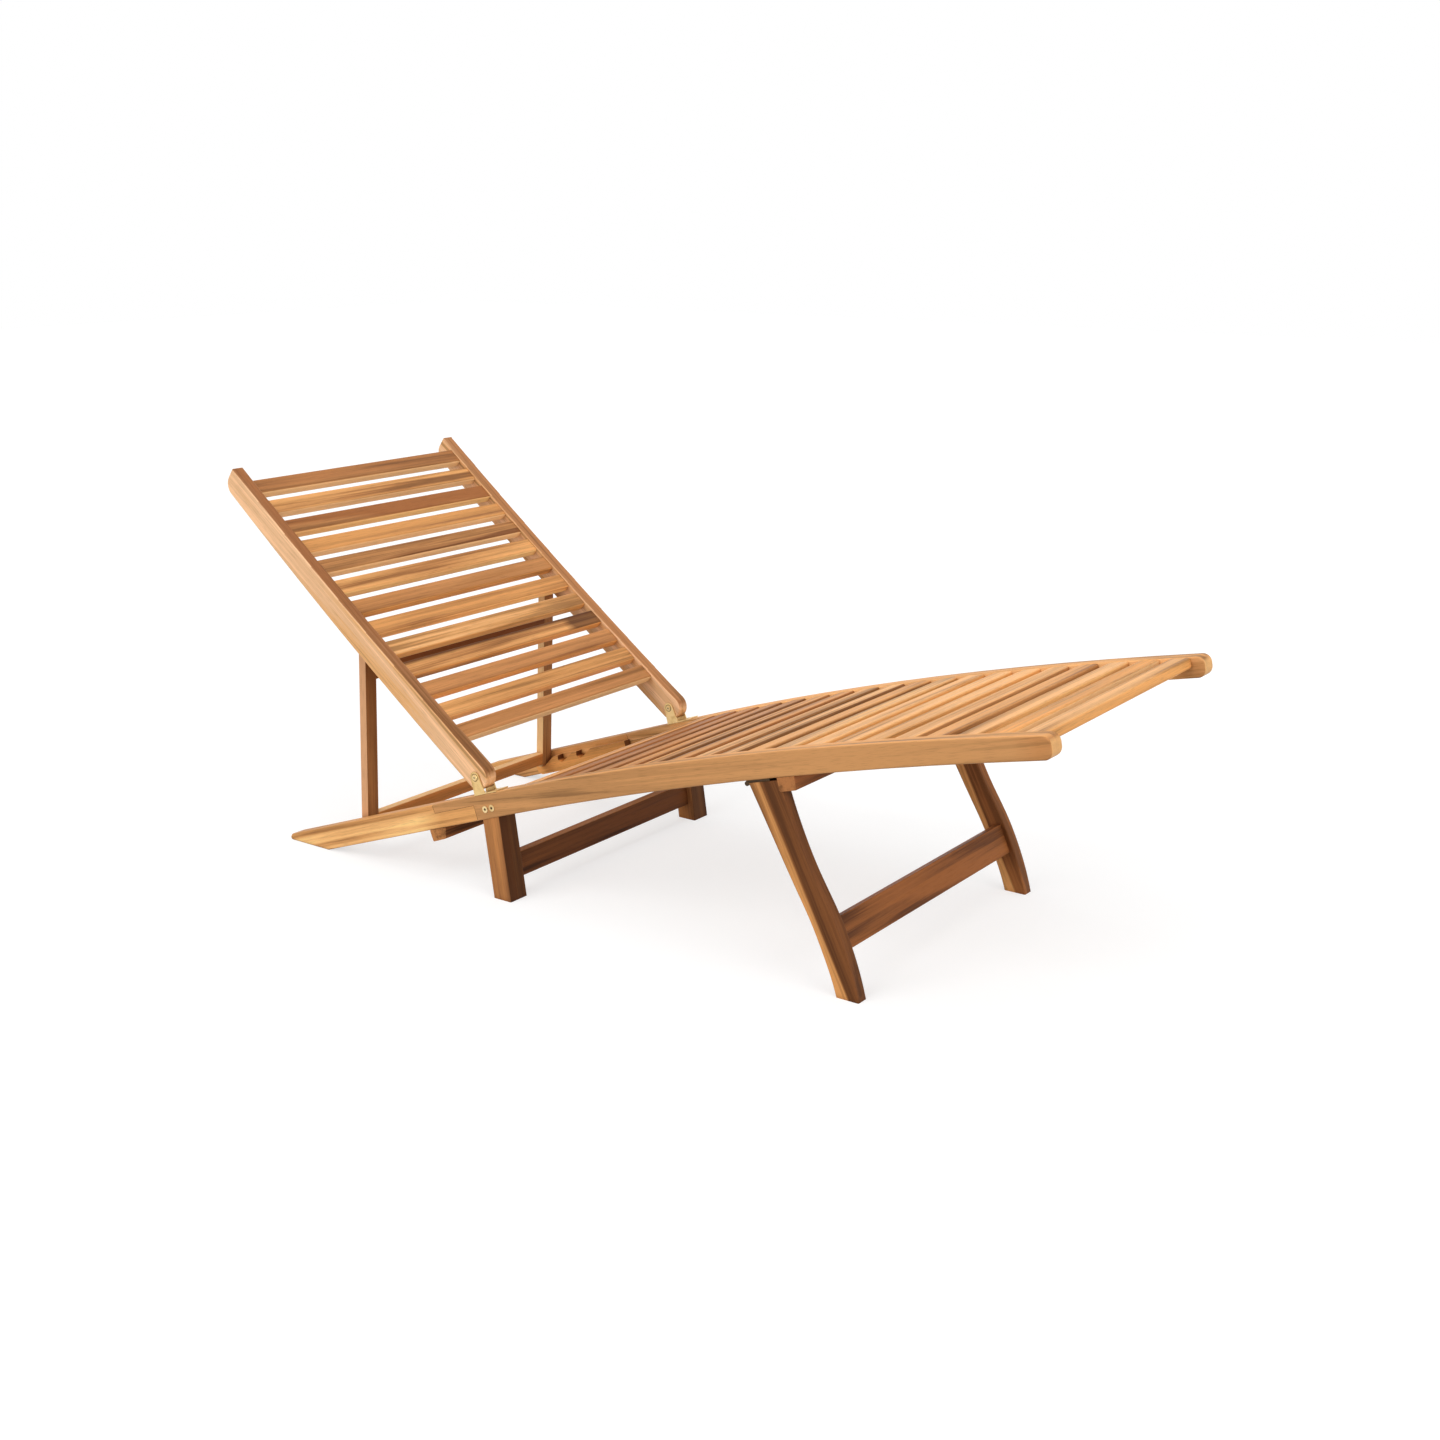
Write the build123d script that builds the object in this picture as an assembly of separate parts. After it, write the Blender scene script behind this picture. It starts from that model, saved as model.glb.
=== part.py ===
"""Slatted wooden lounge chair with a propped back and folding front legs, in mm, Z up.

Built with X = 0 at the rear legs' rear foot corner, +X toward the sitter's feet and +Y the
sitter's left, then moved so that the origin is the middle of the bounding box on the floor.
"""
import math
import os
from build123d import *

# Rails: sizes across the chair, depths square to the slope, and the line of the top edge
chair_width = 600.0
rail_thick = 33.0
rail_depth = 45.0
rail_depth_foot = 36.0
rail_slope = 19.34
top_height_at_zero = 199.0
arch_radius = 7700.0
foot_end_x = 1077.0
nose_round = 15.0
edge_round = 2.5
long_edge = 200.0
seat_long_edge = 110.0
leg_long_edge = 100.0
cut_over = 5.0

# Lap between seat rail and rear rail, and the floor end of the rear rail
tongue_depth = 16.5
tongue_end_x = -144.0
tongue_end_lean = 7.0
lap_shoulder_x = -45.0
tip_height = 11.9
tip_overhang = 8.0
tip_round = 5.0

# Seat slats
seat_slat_count = 19
seat_slat_first_x = 63.0
seat_slat_foot_gap = 41.0
seat_slat_width = 36.0
seat_slat_thick = 18.5
seat_slat_recess = 1.0
slat_round = 4.0
tenon_thick = 10.0
tenon_length = 8.0
tenon_shoulder = 4.0
joint_fit = 0.1

# Back: pivot above the rail's top edge, lean at the pivot, bow of its edges, slats
pivot_x = -34.5
pivot_rise = 34.1
back_lean = 35.9
back_length = 780.0
back_front = 26.0
back_rear = 23.5
back_front_bow = 12000.0
back_rear_bow = 9270.0
back_rail_thick = 27.0
back_top_round = 24.0
back_slat_count = 13
back_slat_width = 35.0
back_slat_thick = 18.0
back_slat_recess = 4.0
back_slat_start = 30.0
back_slat_lowest = 88.1

# Brass bracket and pin of the back's hinge
plate_thick = 2.2
bracket_inset = 0.2
bracket_behind = 14.0
bracket_ahead = 42.0
bracket_top_round = 10.5
bracket_base_half = 13.0
pin_radius = 3.0
pin_head_radius = 6.0
pin_head = 1.5
pin_head_taper = 0.7
pin_tail_less = 1.0
running_fit = 0.05
side_gap = 0.4

# Prop frame and the notched cleats it stands in
prop_along_back = 378.0
prop_thick = 17.0
prop_wide = 27.0
prop_side_gap = 1.0
prop_slat_gap = 1.0
prop_set_back = 19.6
foot_sink = 20.15
foot_bar_rise = 11.0
foot_bar_tall = 26.0
prop_rail_drop = 85.0
prop_rail_tall = 30.0
prop_bolt_radius = 4.0
prop_bolt_head_radius = 8.0
prop_bolt_head = 4.0
cleat_thick = 18.0
cleat_drop = 12.0
cleat_behind = 26.0
cleat_ahead = 220.0
cleat_round = 14.0
notch_count = 3
notch_pitch = 51.5
notch_gap = 0.3
notch_ramp = 45.0
notch_reach = 60.0

# Rear legs, their stretcher and bolts, and the cross rail behind them
rear_leg_wide = 41.0
rear_leg_thick = 44.0
rear_leg_inset = 2.0
rear_leg_lean = 8.3
rear_tongue_drop = 11.0
rear_stretcher_low = 31.0
rear_stretcher_tall = 45.0
rear_stretcher_thick = 19.0
rear_stretcher_inset = 12.0
bolt_radius = 3.0
bolt_head_radius = 6.2
bolt_head = 1.4
bolt_socket = 2.6
bolt_socket_deep = 1.0
bolt_spacing = 15.9
bolt_first_x = -20.2
bolt_drop = 27.0
cross_rail_rear_x = -167.0
cross_rail_wide = 42.5
cross_rail_deep = 22.0
cross_rail_slant = 1.0

# Front legs, their stretcher, the stop rail in front of them and the hinges
front_leg_thick = 24.0
front_leg_inset = 1.5
front_foot_rear_x = 727.7
front_foot_wide = 42.5
front_leg_gap = 4.3
front_hinge_x = 552.5
stop_rail_x = 612.0
stop_rail_wide = 33.0
stop_rail_deep = 23.0
stop_gap = 0.3
stop_rail_inset = 1.0
shelf_long = 6.0
front_stretcher_tall = 55.0
front_stretcher_thick = 20.0
front_stretcher_inset = 8.1
front_stretcher_top_z = 124.5
front_stretcher_lean = 23.3
hinge_leaf = 2.0
hinge_seat = 0.15
hinge_drop = 5.0
hinge_knuckle = 4.0
hinge_pin = 2.0
hinge_leaf_long = 46.0
hinge_side = 1.5
hinge_end_gap = 0.2

# Sabre curve of the front leg: shares of the way up each edge, and shares of its length outward
leg_rear_curve = ((0.0965, 0.01454), (0.20529, 0.02223), (0.34422, 0.02626), (0.4949, 0.01973),
                  (0.76874, 0.00893))
leg_front_curve = ((0.11762, 0.01726), (0.2547, 0.02534), (0.39784, 0.02218), (0.6062, -0.00104),
                   (0.8075, -0.0088))

# Values worked out from the sizes above
half_width = chair_width / 2
rail_inner = half_width - rail_thick
slope = math.radians(rail_slope)
along = (math.cos(slope), math.sin(slope))
arch_x = arch_radius * math.sin(slope)
arch_z = top_height_at_zero - arch_radius * math.cos(slope)


def turned(angle):
    """Unit vector at an angle in degrees from +X toward +Z."""
    return (math.cos(math.radians(angle)), math.sin(math.radians(angle)))


def angle_at(x):
    """Slope of the rail's top edge at x, in degrees."""
    if x <= 0:
        return rail_slope
    return math.degrees(math.asin((arch_x - x) / arch_radius))


def on_top(x, drop=0.0):
    """Point under the top edge at x, dropped square to the edge."""
    if x <= 0:
        z = top_height_at_zero + math.tan(slope) * x
    else:
        z = arch_z + math.sqrt(arch_radius ** 2 - (x - arch_x) ** 2)
    t = math.radians(angle_at(x))
    return (x + drop * math.sin(t), z - drop * math.cos(t))


# Places that follow from the line of the top edge
pivot_height = on_top(pivot_x)[1] + pivot_rise
tip_top_x = (tip_height - top_height_at_zero) / math.tan(slope)
tip_floor_x = tip_top_x - tip_overhang

# The underside: parallel to the top at the rear, then an arc that thins the rail to the foot
nose_x = foot_end_x - (rail_depth_foot - nose_round) * math.sin(math.radians(angle_at(foot_end_x)))
nose_top = on_top(nose_x)
nose_low = on_top(nose_x, rail_depth_foot)
under_start = on_top(0, rail_depth)
chord = (nose_low[0] - under_start[0], nose_low[1] - under_start[1])
chord_drop = chord[0] * math.sin(slope) - chord[1] * math.cos(slope)
under_radius = (chord[0] ** 2 + chord[1] ** 2) / (2 * chord_drop)
under_x = under_start[0] + under_radius * math.sin(slope)
under_z = under_start[1] - under_radius * math.cos(slope)


def under(x, drop=0.0):
    """Point under the seat rail's underside at x, dropped square to it."""
    z = under_z + math.sqrt(under_radius ** 2 - (x - under_x) ** 2)
    t = math.asin((under_x - x) / under_radius)
    return (x + drop * math.sin(t), z - drop * math.cos(t))


def under_angle(x):
    """Slope of the seat rail's underside at x, in degrees."""
    return math.degrees(math.asin((under_x - x) / under_radius))


def slab(edges, y_low, y_high):
    """Solid between two Y planes from closed edges drawn in X and Z."""
    face = Plane.XZ * make_face(edges)
    return Pos(0, y_low, 0) * extrude(face, amount=y_low - y_high)


def beside(start, end, share, out):
    """Point a share of the way from start to end, set off square to that line."""
    run = (end[0] - start[0], end[1] - start[1])
    return (start[0] + share * run[0] + out * run[1], start[1] + share * run[1] - out * run[0])


def poly(*points):
    """Closed straight-sided outline."""
    return Polyline(*points, close=True)


def rod(x, z, radius, y_low, y_high):
    """Round bar along Y."""
    return Pos(x, (y_low + y_high) / 2, z) * Rot(90, 0, 0) * Cylinder(radius, y_high - y_low)


def long_edges(solid, least):
    """Edges on the solid's two Y faces that are at least so long."""
    box = solid.bounding_box()
    picked = []
    for edge in solid.edges():
        ends = edge.bounding_box()
        flat = ends.max.Y - ends.min.Y < 0.01
        outer = min(abs(ends.min.Y - box.min.Y), abs(ends.min.Y - box.max.Y)) < 0.01
        if flat and outer and edge.length > least:
            picked.append(edge)
    return picked


def eased(solid, least):
    """The solid with its long outer edges rounded over."""
    return fillet(long_edges(solid, least), edge_round)


def pair(solid):
    """The solid and its mirror image on the other side."""
    return solid, mirror(solid, about=Plane.XZ)


def group(*solids):
    """Separate solids as one node."""
    return Compound(children=[piece for solid in solids for piece in solid.solids()])


def slat(width, thick, length):
    """Slat along Y with rounded edges and a tenon at each end, top face at Z = 0."""
    body = Pos(0, 0, -thick / 2) * Box(width, length, thick)
    body = fillet(body.edges().filter_by(Axis.Y), slat_round)
    tenon = Box(width - 2 * tenon_shoulder, length + 2 * tenon_length, tenon_thick)
    return body + Pos(0, 0, -thick / 2) * tenon


def mortise(width, thick, y_inner):
    """Pocket for one slat's tenon at +Y, in the slat's own place."""
    pocket = Box(width - 2 * tenon_shoulder + 2 * joint_fit, 2 * tenon_length, tenon_thick + 2 * joint_fit)
    return Pos(0, y_inner + joint_fit, -thick / 2) * pocket


parts = {}

# Seat slats, each square to the rail where it lies
seat_places = []
for i in range(seat_slat_count):
    step = (nose_x - seat_slat_foot_gap - seat_slat_first_x) / (seat_slat_count - 1)
    x = seat_slat_first_x + i * step
    spot = on_top(x, seat_slat_recess)
    seat_places.append(Pos(spot[0], 0, spot[1]) * Rot(0, -angle_at(x), 0))
seat_slat = slat(seat_slat_width, seat_slat_thick, 2 * rail_inner)
for i, place in enumerate(seat_places):
    parts["seat_slat_%02d" % (i + 1)] = place * seat_slat

# Seat rail: tongue, shoulder, arched edges and rounded nose
tongue_top = on_top(tongue_end_x)
tongue_low = on_top(tongue_end_x + tongue_end_lean - tongue_depth * math.sin(slope), tongue_depth)
shoulder_top = on_top(lap_shoulder_x, tongue_depth)
shoulder_low = on_top(lap_shoulder_x, rail_depth)
zero_top = on_top(0)
seat_edges = [
    Line(zero_top, tongue_top),
    Line(tongue_top, tongue_low),
    Line(tongue_low, shoulder_top),
    Line(shoulder_top, shoulder_low),
    Line(shoulder_low, under_start),
    ThreePointArc(under_start, under((under_start[0] + nose_low[0]) / 2), nose_low),
    Line(nose_low, nose_top),
    ThreePointArc(nose_top, on_top(nose_x / 2), zero_top),
]
seat_rail = slab(seat_edges, rail_inner, half_width)
seat_rail = fillet(seat_rail.edges().filter_by(Axis.Y).sort_by(Axis.X)[-2:], nose_round)
seat_rail = eased(seat_rail, seat_long_edge)
seat_mortise = mortise(seat_slat_width, seat_slat_thick, rail_inner)
seat_rail = seat_rail - [place * seat_mortise for place in seat_places]

# Rear rail: same line down to a flat on the floor, lapped under the tongue
heel_x = (rail_depth / math.cos(slope) - top_height_at_zero) / math.tan(slope)
tip_top = on_top(tip_top_x)
rear_edges = [
    Line((heel_x, 0), (tip_floor_x, 0)),
    Line((tip_floor_x, 0), tip_top),
    Line(tip_top, tongue_top),
    Line(tongue_top, tongue_low),
    Line(tongue_low, shoulder_top),
    Line(shoulder_top, shoulder_low),
    Line(shoulder_low, (heel_x, 0)),
]
rear_rail = slab(rear_edges, rail_inner, half_width)
rear_rail = fillet(rear_rail.edges().filter_by(Axis.Y).sort_by(Axis.X)[:2], tip_round)
rear_rail = eased(rear_rail, long_edge)

# Rear leg: shoulder under the rail and a tongue up its inner face
leg_outer = half_width - rear_leg_inset
leg_inner = leg_outer - rear_leg_thick
lean = math.tan(math.radians(rear_leg_lean))


def leg_meets(x_foot, drop):
    """Point where the leg's edge from x_foot meets a line under the rail's top edge."""
    level = top_height_at_zero - drop / math.cos(slope)
    z = (level + math.tan(slope) * x_foot) / (1 + math.tan(slope) * lean)
    return (x_foot - lean * z, z)


leg_outline = poly((0, 0), (rear_leg_wide, 0), leg_meets(rear_leg_wide, rail_depth), leg_meets(0, rail_depth))
leg_tongue = poly((0, 0), (rear_leg_wide, 0), leg_meets(rear_leg_wide, rear_tongue_drop),
                  leg_meets(0, rear_tongue_drop))
rear_leg = slab(leg_outline, leg_inner, leg_outer)
upright = [e for e in rear_leg.edges().filter_by(lambda e: e.length > leg_long_edge)]
rear_leg = fillet(upright, edge_round)
rear_leg = rear_leg + slab(leg_tongue, leg_inner + edge_round, rail_inner)

# Bolts that hold the rear legs' tongues
bolt_spots = []
for i in range(2):
    bolt_spots.append(on_top(bolt_first_x + i * bolt_spacing, bolt_drop))
bolts = []
for x, z in bolt_spots:
    hole = rod(x, z, bolt_radius + running_fit, leg_inner - cut_over, half_width + cut_over)
    seat_rail = seat_rail - hole
    rear_leg = rear_leg - hole
    bolt = rod(x, z, bolt_radius, leg_inner + edge_round, half_width)
    head = rod(x, z, bolt_head_radius, half_width, half_width + bolt_head)
    hexagon = extrude(RegularPolygon(bolt_socket, 6), bolt_socket_deep, both=True)
    socket = Pos(x, half_width + bolt_head, z) * Rot(90, 0, 0) * hexagon
    bolts.append(bolt + head - socket)
parts["rear_leg_bolts"] = group(*[s for b in bolts for s in pair(b)])

# Stretcher between the rear legs
low = rear_stretcher_low
high = low + rear_stretcher_tall
front_x = rear_leg_wide - rear_stretcher_inset
rear_x = front_x - rear_stretcher_thick
rear_stretcher = slab(poly((rear_x - lean * low, low), (front_x - lean * low, low),
                           (front_x - lean * high, high), (rear_x - lean * high, high)), -leg_inner, leg_inner)
rear_stretcher = fillet(rear_stretcher.edges().filter_by(Axis.Y), edge_round)

# Cross rail under the rear rails
cross_rear = on_top(cross_rail_rear_x, rail_depth)
cross_ahead = (cross_rear[0] + cross_rail_wide * along[0], cross_rear[1] + cross_rail_wide * along[1])
cross_low = (cross_ahead[0], cross_ahead[1] - cross_rail_deep)
cross_back = (cross_rear[0] + cross_rail_slant + cross_rail_deep * math.sin(slope),
              cross_rear[1] + cross_rail_slant * math.tan(slope) - cross_rail_deep * math.cos(slope))
cross_rail = slab(poly(cross_rear, cross_back, cross_low, cross_ahead), -half_width, half_width)
parts["rear_cross_rail"] = fillet(cross_rail.edges().filter_by(Axis.Y).sort_by(Axis.Z)[:2], edge_round)

# Back: places in its own frame, u up along the rail and v toward the sitter
back_u = turned(180 - back_lean)
back_v = turned(90 - back_lean)


def on_back(u, v):
    """Point of the back's own frame in X and Z."""
    return (pivot_x + u * back_u[0] + v * back_v[0], pivot_height + u * back_u[1] + v * back_v[1])


def front_of_back(u):
    """Front edge of the back rail."""
    return back_front + u * u / (2 * back_front_bow)


def rear_of_back(u):
    """Rear edge of the back rail."""
    return u * u / (2 * back_rear_bow) - back_rear


heel = (back_front + back_rear) / 2
heel_centre = (back_front - back_rear) / 2
top_front = on_back(back_length, front_of_back(back_length))
top_rear = on_back(back_length, rear_of_back(back_length))
back_edges = [
    ThreePointArc(on_back(0, back_front), on_back(back_length / 2, front_of_back(back_length / 2)), top_front),
    Line(top_front, top_rear),
    ThreePointArc(top_rear, on_back(back_length / 2, rear_of_back(back_length / 2)), on_back(0, -back_rear)),
    ThreePointArc(on_back(0, -back_rear), on_back(-heel, heel_centre), on_back(0, back_front)),
]
cheek_outer = half_width - bracket_inset
back_outer = cheek_outer - plate_thick - side_gap
back_inner = back_outer - back_rail_thick
back_rail = slab(back_edges, back_inner, back_outer)
top_corner = back_rail.edges().filter_by(Axis.Y).sort_by_distance((top_rear[0], back_inner, top_rear[1]))[0]
back_rail = fillet(top_corner, back_top_round)
back_rail = eased(back_rail, long_edge)

# Back slats, each square to the rail's front edge
back_slat = slat(back_slat_width, back_slat_thick, 2 * back_inner)
back_mortise = mortise(back_slat_width, back_slat_thick, back_inner)
top_slat = back_length - back_slat_start - back_slat_width / 2
back_slat_pitch = (top_slat - back_slat_lowest) / (back_slat_count - 1)
for i in range(back_slat_count):
    u = top_slat - i * back_slat_pitch
    spot = on_back(u, front_of_back(u) - back_slat_recess)
    turn = back_lean + math.degrees(u / back_front_bow)
    place = Pos(spot[0], 0, spot[1]) * Rot(0, turn, 0)
    parts["back_slat_%02d" % (i + 1)] = place * back_slat
    back_rail = back_rail - place * back_mortise

# Bracket: base on the rail's top edge and a cheek on each side of the back rail
cheek_inner = back_inner - side_gap - plate_thick
rise = (pivot_height - on_top(pivot_x)[1]) * math.cos(slope)
foot_of_pivot = (pivot_x + rise * math.sin(slope), pivot_height - rise * math.cos(slope))


def on_bracket(a, b):
    """Point a along the rail's top edge from the pivot's foot and b square above it."""
    return (foot_of_pivot[0] + a * along[0] - b * along[1], foot_of_pivot[1] + a * along[1] + b * along[0])


cheek_edges = [
    Line(on_bracket(-bracket_base_half, 0), on_bracket(bracket_base_half, 0)),
    Line(on_bracket(bracket_base_half, 0), on_bracket(bracket_top_round, rise)),
    ThreePointArc(on_bracket(bracket_top_round, rise), on_bracket(0, rise + bracket_top_round),
                  on_bracket(-bracket_top_round, rise)),
    Line(on_bracket(-bracket_top_round, rise), on_bracket(-bracket_base_half, 0)),
]
base_edges = poly(on_bracket(-bracket_behind, 0), on_bracket(bracket_ahead, 0),
                  on_bracket(bracket_ahead, plate_thick), on_bracket(-bracket_behind, plate_thick))
bracket = slab(base_edges, cheek_inner, cheek_outer)
bracket = bracket + slab(cheek_edges, cheek_outer - plate_thick, cheek_outer)
bracket = bracket + slab(cheek_edges, cheek_inner, cheek_inner + plate_thick)
pivot_hole = rod(pivot_x, pivot_height, pin_radius + running_fit, cheek_inner - cut_over, cheek_outer + cut_over)
bracket = bracket - pivot_hole
back_rail = back_rail - pivot_hole
pin_tail = pin_head_radius - pin_tail_less
pin_profile = Polyline((0, cheek_inner - pin_head), (pin_tail, cheek_inner - pin_head),
                       (pin_tail, cheek_inner), (pin_radius, cheek_inner), (pin_radius, cheek_outer),
                       (pin_head_radius, cheek_outer), (pin_head_radius - pin_head_taper, cheek_outer + pin_head),
                       (0, cheek_outer + pin_head), close=True)
pivot_pin = Pos(pivot_x, 0, pivot_height) * revolve(make_face(pin_profile), Axis.Y)
parts["back_pivot_pin_left"], parts["back_pivot_pin_right"] = pair(pivot_pin)

# Prop frame: hangs on the back rails' bolts, just behind the slats, feet in the notches
slat_rear = front_of_back(prop_along_back) - back_slat_recess - back_slat_thick
prop_top = on_back(prop_along_back, slat_rear - prop_thick / 2 - prop_slat_gap)
foot_x = prop_top[0] - prop_set_back
foot = (foot_x, on_top(foot_x)[1] - foot_sink)
prop_run = (prop_top[0] - foot[0], prop_top[1] - foot[1])
prop_length = math.hypot(*prop_run)
prop_angle = math.degrees(math.atan2(prop_run[1], prop_run[0]))
prop_outer_y = rail_inner - prop_side_gap
prop_inner = prop_outer_y - prop_wide


def on_prop(a, b):
    """Point a up the prop from its foot's centre and b toward +X from its middle."""
    up = turned(prop_angle)
    return (foot[0] + a * up[0] + b * up[1], foot[1] + a * up[1] - b * up[0])


half = prop_thick / 2
prop_edges = [
    Line(on_prop(0, half), on_prop(prop_length, half)),
    ThreePointArc(on_prop(prop_length, half), on_prop(prop_length + half, 0), on_prop(prop_length, -half)),
    Line(on_prop(prop_length, -half), on_prop(0, -half)),
    ThreePointArc(on_prop(0, -half), on_prop(-half, 0), on_prop(0, half)),
]
prop = slab(prop_edges, prop_inner, prop_outer_y)
prop_hole = rod(prop_top[0], prop_top[1], prop_bolt_radius + running_fit, prop_inner - cut_over,
                prop_outer_y + cut_over)
prop = prop - prop_hole
bar_low = foot_bar_rise - foot_bar_tall / 2
bar_high = foot_bar_rise + foot_bar_tall / 2
foot_bar = slab(poly(on_prop(bar_low, -half), on_prop(bar_low, half), on_prop(bar_high, half),
                     on_prop(bar_high, -half)), -prop_inner, prop_inner)
parts["prop_foot_bar"] = fillet(foot_bar.edges().filter_by(Axis.Y), edge_round)
rail_high = prop_length - prop_rail_drop + prop_rail_tall / 2
rail_low = rail_high - prop_rail_tall
prop_rail = slab(poly(on_prop(rail_low, -half), on_prop(rail_low, half), on_prop(rail_high, half),
                      on_prop(rail_high, -half)), -prop_inner, prop_inner)
parts["prop_cross_rail"] = fillet(prop_rail.edges().filter_by(Axis.Y), edge_round)
bolt_hole = rod(prop_top[0], prop_top[1], prop_bolt_radius, back_inner, back_inner + back_rail_thick / 2)
back_rail = back_rail - bolt_hole
prop_bolt = rod(prop_top[0], prop_top[1], prop_bolt_radius, prop_inner - notch_gap, back_inner + back_rail_thick / 2)
prop_bolt = prop_bolt + rod(prop_top[0], prop_top[1], prop_bolt_head_radius,
                            prop_inner - notch_gap - prop_bolt_head, prop_inner - notch_gap)
prop_bolt = prop_bolt + rod(prop_top[0], prop_top[1], prop_bolt_head_radius, prop_outer_y + notch_gap, back_inner)
parts["prop_pivot_bolts"] = group(*pair(prop_bolt))

# Ratchet cleat: a strip with hooked notches, steep at the rear and ramped in front
cleat_rear_x = foot_x - cleat_behind
cleat_front_x = foot_x + cleat_ahead
cleat_edges = poly(on_top(cleat_rear_x, cleat_drop), on_top(cleat_front_x, cleat_drop),
                   on_top(cleat_front_x, rail_depth), on_top(cleat_rear_x, rail_depth))
cleat = slab(cleat_edges, rail_inner - cleat_thick, rail_inner)
cleat = fillet(cleat.edges().filter_by(Axis.Y).sort_by(Axis.X)[1], cleat_round)
cleat = fillet(cleat.edges().filter_by(Axis.Y).sort_by(Axis.X)[-1], cleat_round)
notch_radius = half + notch_gap
ramp = turned(notch_ramp)
cleat_low = rail_inner - cleat_thick - cut_over
cleat_high = rail_inner + cut_over
for i in range(notch_count):
    at = (foot[0] + i * notch_pitch, foot[1] + i * notch_pitch * math.tan(slope))
    low_ramp = (at[0] + notch_radius * ramp[1], at[1] - notch_radius * ramp[0])
    high_ramp = (low_ramp[0] + notch_reach * ramp[0], low_ramp[1] + notch_reach * ramp[1])
    mouth = poly(at, low_ramp, high_ramp, (at[0] - notch_radius, high_ramp[1]), (at[0] - notch_radius, at[1]))
    cleat = cleat - rod(at[0], at[1], notch_radius, cleat_low, cleat_high)
    cleat = cleat - slab(mouth, cleat_low, cleat_high)
under_floor = poly((tip_floor_x, 0), (cleat_front_x, 0), (cleat_front_x, -rail_depth), (tip_floor_x, -rail_depth))
cleat = cleat - slab(under_floor, cleat_low, cleat_high)

# Front hinge: axis under the rail, leaves on the rail and on the leg
hinge_turn = under_angle(front_hinge_x)
hinge_along = turned(hinge_turn)
hinge_axis = under(front_hinge_x, hinge_drop + hinge_seat)
leg_y_high = half_width - front_leg_inset
leg_y_low = leg_y_high - front_leg_thick


def on_hinge(a, drop):
    """Point a toward the foot from the hinge axis, drop below the rail's underside."""
    start = under(front_hinge_x, drop + hinge_seat)
    return (start[0] + a * hinge_along[0], start[1] + a * hinge_along[1])


def leaf(drop, y_low, y_high):
    """Flat hinge leaf with one face at a drop below the underside."""
    return slab(poly(on_hinge(0, drop), on_hinge(hinge_leaf_long, drop), on_hinge(hinge_leaf_long, drop + hinge_leaf),
                     on_hinge(0, drop + hinge_leaf)), y_low, y_high)


hinge_low = leg_y_low + hinge_side
hinge_high = leg_y_high - hinge_side
third = (hinge_high - hinge_low) / 3
knuckles = []
for i in range(3):
    start = hinge_low + i * third
    stop = start + third
    knuckles.append((start + (hinge_end_gap if i == 1 else 0), stop - (hinge_end_gap if i == 1 else 0)))
bore = rod(hinge_axis[0], hinge_axis[1], hinge_pin + running_fit, hinge_low - cut_over, hinge_high + cut_over)
clear = rod(hinge_axis[0], hinge_axis[1], hinge_knuckle + notch_gap, hinge_low - cut_over, hinge_high + cut_over)
rail_leaf = leaf(0, hinge_low, hinge_high)
leg_leaf = leaf(front_leg_gap - hinge_leaf, hinge_low, hinge_high)
rail_leaf = rail_leaf - clear
leg_leaf = leg_leaf - clear
for i, (y_low, y_high) in enumerate(knuckles):
    knuckle = rod(hinge_axis[0], hinge_axis[1], hinge_knuckle, y_low, y_high)
    if i == 1:
        leg_leaf = leg_leaf + knuckle + leaf(front_leg_gap - hinge_leaf, y_low, y_high)
    else:
        rail_leaf = rail_leaf + knuckle + leaf(0, y_low, y_high)
rail_leaf = rail_leaf - bore
leg_leaf = leg_leaf - bore
hinge_rod = rod(hinge_axis[0], hinge_axis[1], hinge_pin, hinge_low, hinge_high)
parts["leg_hinge_rail_leaves"] = group(*pair(rail_leaf), *pair(hinge_rod))
parts["leg_hinge_leg_leaves"] = group(*pair(leg_leaf))

# Stop rail under the seat rails, in front of the legs' tops
stop_start = under(stop_rail_x)
stop_turn = turned(under_angle(stop_rail_x))
stop_end = (stop_start[0] + stop_rail_wide * stop_turn[0], stop_start[1] + stop_rail_wide * stop_turn[1])
stop_low = (stop_start[0] + stop_rail_deep * stop_turn[1], stop_start[1] - stop_rail_deep * stop_turn[0])
stop_front = (stop_end[0] + stop_rail_deep * stop_turn[1], stop_end[1] - stop_rail_deep * stop_turn[0])
stop_half = half_width - stop_rail_inset
stop_rail = slab(poly(stop_start, stop_low, stop_front, stop_end), -stop_half, stop_half)
stop_rail = fillet(stop_rail.edges().filter_by(Axis.Y).sort_by(Axis.Z)[:2], edge_round)
lifted = slab([
    ThreePointArc(under_start, under((under_start[0] + nose_low[0]) / 2), nose_low),
    Line(nose_low, (nose_low[0], nose_low[1] + rail_depth)),
    Line((nose_low[0], nose_low[1] + rail_depth), (under_start[0], nose_low[1] + rail_depth)),
    Line((under_start[0], nose_low[1] + rail_depth), under_start),
], -half_width - cut_over, half_width + cut_over)
parts["leg_stop_rail"] = stop_rail - lifted

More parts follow.
